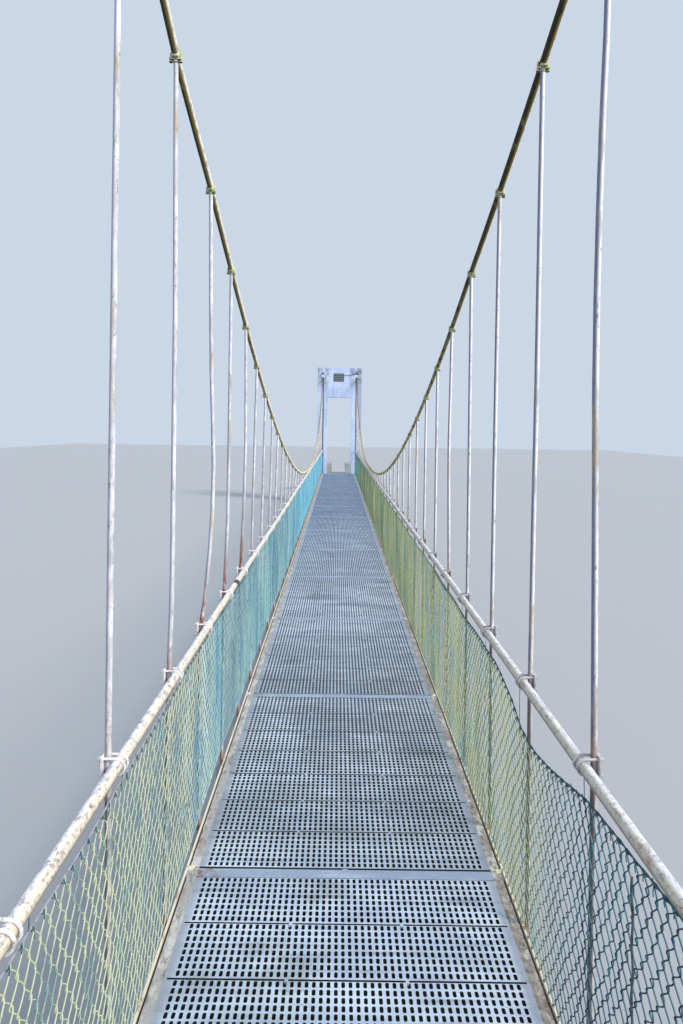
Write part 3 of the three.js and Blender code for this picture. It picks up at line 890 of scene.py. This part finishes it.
# A clamp: an upright U-bolt round the cable, through a small saddle that the rod's head is fixed to.
# Where the cable is steep it is taller from top to bottom, and so is the U-bolt.
def clamp_shape(stretch):
    shape = Shape()
    rod = 0.0045
    reach = CABLE_RADIUS + 0.004
    plate = -CABLE_RADIUS * (0.65 + 0.35 * stretch) - 0.006
    angles = np.linspace(0, math.pi, 8)
    arc = [(reach * math.cos(a), 0.004 * math.sin(a), reach * stretch * math.sin(a)) for a in angles]
    path = [(reach, 0, plate - 0.006), *arc, (-reach, 0, plate - 0.006)]
    tube(shape, path, rod, 6, start=(0, 1, 0))
    block(shape, (-0.022, -0.013, plate), (0.022, 0.013, plate + 0.006), 0.001)
    block(shape, (-0.012, -0.021, plate + 0.005), (0.012, 0.019, 0.6 * CABLE_RADIUS * (stretch - 1)), 0.004)
    for x in (-reach, reach):
        prism(shape, (x, 0, plate - 0.003), UP, 0.0072, 0.006, 6, 0.0008)
    prism(shape, (0, 0, plate - 0.002), UP, 0.0115, 0.012, 10, 0.002)
    return shape


def make_clamps(side, name):
    shape = Shape()
    for number, y in enumerate(hanger_places()):
        place = head_place(side, number, y)
        slope = (cable_height(place[1] + 0.01) - cable_height(place[1] - 0.01)) / 0.02
        shape.stamp(clamp_shape(math.hypot(1, slope)), [place])
    make_piece(name, [(shape, clamp_zinc)], 40, side=side)


# Handrail: a long tube, a little wavy, with its U-bolts
def make_rail(side, name, node):
    shape = Shape()
    low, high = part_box(node)
    ys = np.arange(low[1], high[1], 0.2)
    band_edges = BAND_Y + BAND_HALF * np.array([-1.4, -1, 1, 1.4])
    ys = np.sort(np.concatenate([ys, [high[1]], band_edges if side < 0 else []]))
    path = np.column_stack([
        RAIL_X + 0.0015 * np.sin(ys * 1.3 + side), ys, RAIL_Z + 0.002 * np.sin(ys * 0.9 + 2 * side),
    ])
    sides = 20
    tube(shape, path, RAIL_RADIUS, sides)
    wear = np.repeat(np.abs(ys - BAND_Y) < BAND_HALF * 1.1, sides) * float(side < 0)
    make_piece(name, [(shape, rail_paint)], 60, (node,), wear, side)


def rail_bolt_shape():
    shape = Shape()
    rod = 0.004
    reach = RAIL_RADIUS + 0.0045
    plate = HANGER_X + HANGER_RADIUS + 0.0003
    offset = HANGER_RADIUS + 0.0005 + rod
    angles = np.linspace(-math.pi / 2, math.pi / 2, 8)
    for y in (-offset, offset):
        arc = [(RAIL_X - reach * math.cos(a), y, reach * math.sin(a)) for a in angles]
        path = [(plate + 0.016, y, -reach), *arc, (plate + 0.016, y, reach)]
        tube(shape, path, rod, 6, start=(0, 1, 0))
        for z in (-reach, reach):
            prism(shape, (plate + 0.0095, y, z), (1, 0, 0), 0.0075, 0.007, 6, 0.0008)
    block(shape, (plate, -0.024, -0.030), (plate + 0.006, 0.024, 0.030), 0.001)
    return shape


def make_rail_bolts(side, name):
    shape = Shape()
    places = [(0, rail_bolt_y(side, number, y), RAIL_Z) for number, y in enumerate(hanger_places())]
    shape.stamp(rail_bolt_shape(), places)
    make_piece(name, [(shape, bolt_paint)], 40, side=side)


# Netting: upright wires, each a flattened coil hooked into the next
def net_wave(side, y, z):
    share = np.clip((z - NET_BOTTOM[side]) / (NET_TOP[side] - NET_BOTTOM[side]), 0, 1)
    wave = 0.008 * np.sin(y * 1.9 + side) + 0.005 * np.sin(y * 4.7 + 2 * side) + 0.006
    return wave * np.sin(share * math.pi)


# The right netting has come away from the rail and sags: place along the bridge, how far it is down
NET_SAG = (
    (-11.6, -0.03), (-11.5, -0.036), (-11.4, -0.03), (-11.2, -0.014), (-11.06, 0.002), (-10.965, 0.02),
    (-10.81, 0.058), (-10.64, 0.088), (-10.48, 0.108), (-10.32, 0.107), (-10.18, 0.06), (-10.03, 0.026),
    (-9.9, 0),
)


def net_top(side, y):
    top = NET_TOP[side] + 0.004 * np.sin(y * 9.1) + 0.004 * np.sin(y * 2.3 + side)
    if side < 0:
        return top + 0.03 * np.clip((y + 10.9) / 1.2, 0, 1)
    places, sag = zip(*NET_SAG)
    return top - np.interp(y, places, sag)


# The left netting ends higher over the deck, away from the near end
def net_bottom(side, y):
    return NET_BOTTOM[side] + (0.09 if side < 0 else 0) * np.clip((y + 10.6) / 1.2, 0, 1)


def net_x(side, y, z):
    return np.minimum(NET_X - 0.004 - net_wave(side, y, z), NET_X)


# Rings along one half turn of a coil: share of its height, reach across, distance from the middle plane
COARSE = ((0.0, 0.0, 0.0),)
MIDDLING = ((0.14, -0.04, 1.0), (0.86, 1.04, 1.0))
FINE = ((0.0, -0.17, 0.0), (0.2, 0.0, 0.85), (0.5, 0.5, 1.0), (0.8, 1.0, 0.85))


def net_wires(side, start, end, sides, turn):
    pitch, rows = NET_PITCH[side], NET_ROWS[side]
    count = int(round((end - start) / pitch))
    places = np.array(turn)
    wire = np.arange(count)[:, None, None]
    row = np.arange(rows + 1)[None, :, None]
    share, reach, depth = (places[None, None, :, i] for i in range(3))
    going_away = (row + wire) % 2 == 0
    jitter = rng.normal(0, 0.0022 if start < NET_ENDS[2] else 0.0032, (2, count, rows + 2, 1))
    jitter = jitter[:, :, :-1] * (1 - share) + jitter[:, :, 1:] * share
    top, bottom = net_top(side, start + wire * pitch), net_bottom(side, start + wire * pitch)
    z = bottom + (row + share) / rows * (top - bottom) + jitter[0]
    y = start + (wire + np.where(going_away, reach, 1 - reach)) * pitch + jitter[1]
    bunch = 0.014 * np.sin(9 * y + 2.5 * z + side) + 0.006 * np.sin(23 * y - 5 * z)
    bunch = bunch + 0.0035 * np.sin(49 * y + 23 * z)
    sway = rng.uniform(0, 6.3, (count, 1, 1))
    bunch = bunch + 0.0022 * np.sin(sway + 17 * z) + 0.0016 * np.sin(2.7 * sway + 37 * z)
    y = y + bunch * np.sin(np.clip((z - bottom) / (top - bottom), 0, 1) * math.pi)
    face = np.where(going_away, 1, -1) * depth * side
    x = net_x(side, y, z) + (face - 1) * NET_DEPTH / 2
    rings = rows * len(turn) + 1
    x, y, z, outer = (
        np.broadcast_to(value, (count, rows + 1, len(turn))).reshape(count, -1)[:, :rings]
        for value in (x, y, z, (face + 1) / 2)
    )
    angles = np.arange(sides) / sides * 2 * math.pi
    ring_x = x[..., None] + NET_WIRE * np.cos(angles)
    ring_y = y[..., None] + NET_WIRE * 1.2 * np.sin(angles)
    ring_z = np.broadcast_to((z + DECK_TOP)[..., None], ring_x.shape)
    base = np.arange(count)[:, None, None] * rings * sides + np.arange(rings - 1)[None, :, None] * sides
    corner = np.arange(sides)[None, None]
    after = (corner + 1) % sides
    quads = np.stack([base + corner, base + after, base + sides + after, base + sides + corner], axis=-1)
    shape = Shape()
    shape.add(np.stack([ring_x, ring_y, ring_z], axis=-1).reshape(-1, 3), quads.reshape(-1, 4))
    return shape, np.repeat(outer.ravel(), sides)


def make_net(side, name, node, material):
    parts = zip(NET_ENDS[:-1], NET_ENDS[1:], (3, 4, 3, 3), (COARSE, FINE, MIDDLING, COARSE))
    for number, (start, end, sides, turn) in enumerate(parts, 1):
        shape, outer = net_wires(side, start, end, sides, turn)
        make_piece(f"{name}_{number}", [(shape, material)], 180, (node,), outer, side)


# The edge wires of the netting: a knot at each cell, its tail, and thin ties up to the rail
def make_selvage(side, name, material):
    wires, knots, tails = Shape(), Shape(), Shape()
    ys = np.arange(-DECK_END + 0.02, DECK_END - 0.01, 2 * NET_PITCH[side])
    for top in (True, False):
        z = net_top(side, ys) if top else net_bottom(side, ys)
        middle = np.column_stack([net_x(side, ys, z), ys, z + DECK_TOP])
        if side < 0:
            tube(wires, middle, SELVAGE_WIRE, 5)
        else:
            turn = np.arange(len(ys)) * 2.4
            twist = np.column_stack([np.cos(turn) * TWIST, 0 * turn, np.sin(turn) * TWIST])
            tube(wires, middle + twist, STRAND, 5)
            tube(wires, middle - twist, STRAND, 5)
        if top:
            knot = Shape()
            prism(knot, (0, 0, -0.003), (0, 1, 0.3), KNOT_RADIUS, 0.008, 6)
            knots.stamp(knot, middle[ys < LAST_KNOT])
            for x, y, z in middle[ys < LAST_KNOT]:
                drop = 0.012 + 0.014 * rng.random()
                lean = rng.normal(0, 0.004)
                tip = (x - 0.005, y + lean, z - drop)
                path = [(x - 0.004, y, z + 0.003), (x - 0.006, y + lean / 2, z - drop / 2), tip]
                tube(tails, path, TAIL_WIRE, 4)
    for y in hanger_places():
        z = float(net_top(side, y)) + DECK_TOP
        x = float(net_x(side, y, z - DECK_TOP))
        y += 0.05 + rng.normal(0, 0.02)
        path = [(RAIL_X + 0.010, y, RAIL_Z - 0.0155), (x, y, (RAIL_Z + z) / 2), (x, y - 0.004, z - 0.004)]
        tube(tails, path, TIE_WIRE, 4)
    if side > 0:
        lace = np.linspace(0, 1, 30)
        z = NET_TOP[side] - 0.02 - lace * (NET_TOP[side] - NET_BOTTOM[side] - 0.03)
        y = LACE_Y + 0.004 * np.sin(lace * 40)
        tube(knots, np.column_stack([net_x(side, y, z) - 0.008, y, z + DECK_TOP]), LACE_RADIUS, 6)
    make_piece(name, [(wires, material), (knots, knot_dark), (tails, tie_wire)], 60, side=side)


# The far portal's bare plate, and the thin conduit from it to a slot
def make_portal_plate():
    shape, rims = Shape(), Shape()
    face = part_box("far_portal")[0][1] - 0.0004
    x, z = PLATE_MIDDLE
    block(shape, (x - PLATE_HALF_X, face - 0.012, z - PLATE_HALF_Z),
          (x + PLATE_HALF_X, face, z + PLATE_HALF_Z), 0.002)
    rim_half = PLATE_HALF_X - 0.015
    for level in (-0.105, -0.035, 0.035, 0.105):
        low, high = z + level - 0.011, z + level + 0.011
        block(rims, (x - rim_half, face - 0.0155, low), (x + rim_half, face - 0.0118, high), 0.001)
    bends = ((x + 0.19, 0.085), (0.3, 0.08), (0.45, 0.105), (HANGER_X - 0.062, 0.125))
    tube(shape, [(along, face - 0.009, z + up) for along, up in bends], CONDUIT_RADIUS, 8)
    make_piece("portal_plate", [(shape, plate_dark), (rims, plate_light)], 40)


# Portals, abutments, anchorages and saddles keep their shape; the concrete gets small chamfers
def dress_concrete():
    looks = {"portal": concrete, "abutment": plain_concrete, "_anchor_": plain_concrete, "saddle": casting}
    for name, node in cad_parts.items():
        for word, look in looks.items():
            if word in name:
                node.data.materials.clear()
                node.data.materials.append(look)
                if look != casting:
                    bevel = node.modifiers.new("chamfer", "BEVEL")
                    bevel.width = 0.012
                    bevel.segments = 2
                    bevel.limit_method = "ANGLE"


# A base plate on each anchor block with four bolts, and an upright plate that holds the cable's end
def make_anchor_fittings(side, name):
    shape = Shape()
    base_x, base_y, base_thick = 0.08, 0.21, 0.025
    web_x, web_y, web_over_eye = 0.012, 0.13, 0.06
    bolt_x, bolt_y = 0.05, 0.165
    x, top = HANGER_X, ANCHOR_TOP
    for end, saddle in ((-1, NEAR_SADDLE), (1, FAR_SADDLE)):
        y, z = anchor_eye(end, saddle)
        block(shape, (x - base_x, y - base_y, top + 0.0003),
              (x + base_x, y + base_y, top + base_thick), 0.002)
        block(shape, (x - web_x, y - web_y, top + 0.02), (x + web_x, y + web_y, z + web_over_eye), 0.002)
        for dy in (-bolt_y, bolt_y):
            for dx in (-bolt_x, bolt_x):
                prism(shape, (x + dx, y + dy, top + 0.034), UP, 0.018, 0.018, 6, 0.002)
                prism(shape, (x + dx, y + dy, top + 0.04), UP, 0.01, 0.045, 10, 0.001)
    make_piece(name, [(shape, casting)], 40, side=side)


def make_scene():
    make_planks()
    make_frames()
    sides = (-1, "left", net_left, selvage_pale), (1, "right", net_right, selvage_dark)
    for side, word, wire, edge in sides:
        make_hangers(side, f"hangers_{word}")
        make_cable(side, f"cable_{word}", f"main_cable_{word}")
        make_clamps(side, f"clamps_{word}")
        make_rail(side, f"rail_{word}", f"handrail_{word}")
        make_rail_bolts(side, f"rail_bolts_{word}")
        make_net(side, f"netting_{word}", f"wire_mesh_{word}", wire)
        make_selvage(side, f"selvage_{word}", edge)
        make_anchor_fittings(side, f"anchor_fittings_{word}")
    make_portal_plate()
    dress_concrete()


def make_camera():
    data = bpy.data.cameras.new("camera")
    data.sensor_width = 36
    data.lens = 24
    data.shift_x = 0.0037
    data.shift_y = -0.0827
    camera = bpy.data.objects.new("camera", data)
    eye = (-0.052, -12.855, DECK_TOP + 1.803)
    roll = 0.0125
    level = Matrix.Translation(eye) @ Matrix.Rotation(math.pi / 2, 4, "X")
    camera.matrix_world = level @ Matrix.Rotation(roll, 4, "Z")
    bpy.context.scene.collection.objects.link(camera)
    bpy.context.scene.camera = camera


def make_light():
    sun = bpy.data.lights.new("sun", "SUN")
    sun.energy = 3.4
    sun.angle = math.radians(16)
    sun.color = (1.0, 0.98, 0.94)
    lamp = bpy.data.objects.new("sun", sun)
    lamp.rotation_euler = (math.radians(6), math.radians(52), math.radians(-24))
    bpy.context.scene.collection.objects.link(lamp)
    world = bpy.data.worlds.new("world")
    bpy.context.scene.world = world
    world.use_nodes = True
    sky = world.node_tree.nodes["Background"].inputs
    sky["Color"].default_value = (0.74, 0.85, 1.0, 1)
    sky["Strength"].default_value = 0.8


def make_floor():
    mesh = bpy.data.meshes.new("floor")
    mesh.from_pydata([(-40, -60, 0), (40, -60, 0), (40, 90, 0), (-40, 90, 0)], [], [(0, 1, 2, 3)])
    mesh.materials.append(finish("floor_plain", (168, 170, 174), 0.9, 0.0, [], []))
    obj = bpy.data.objects.new("floor", mesh)
    bpy.context.scene.collection.objects.link(obj)


make_camera()
make_light()
make_floor()
make_scene()
bpy.context.scene.view_settings.view_transform = "Standard"
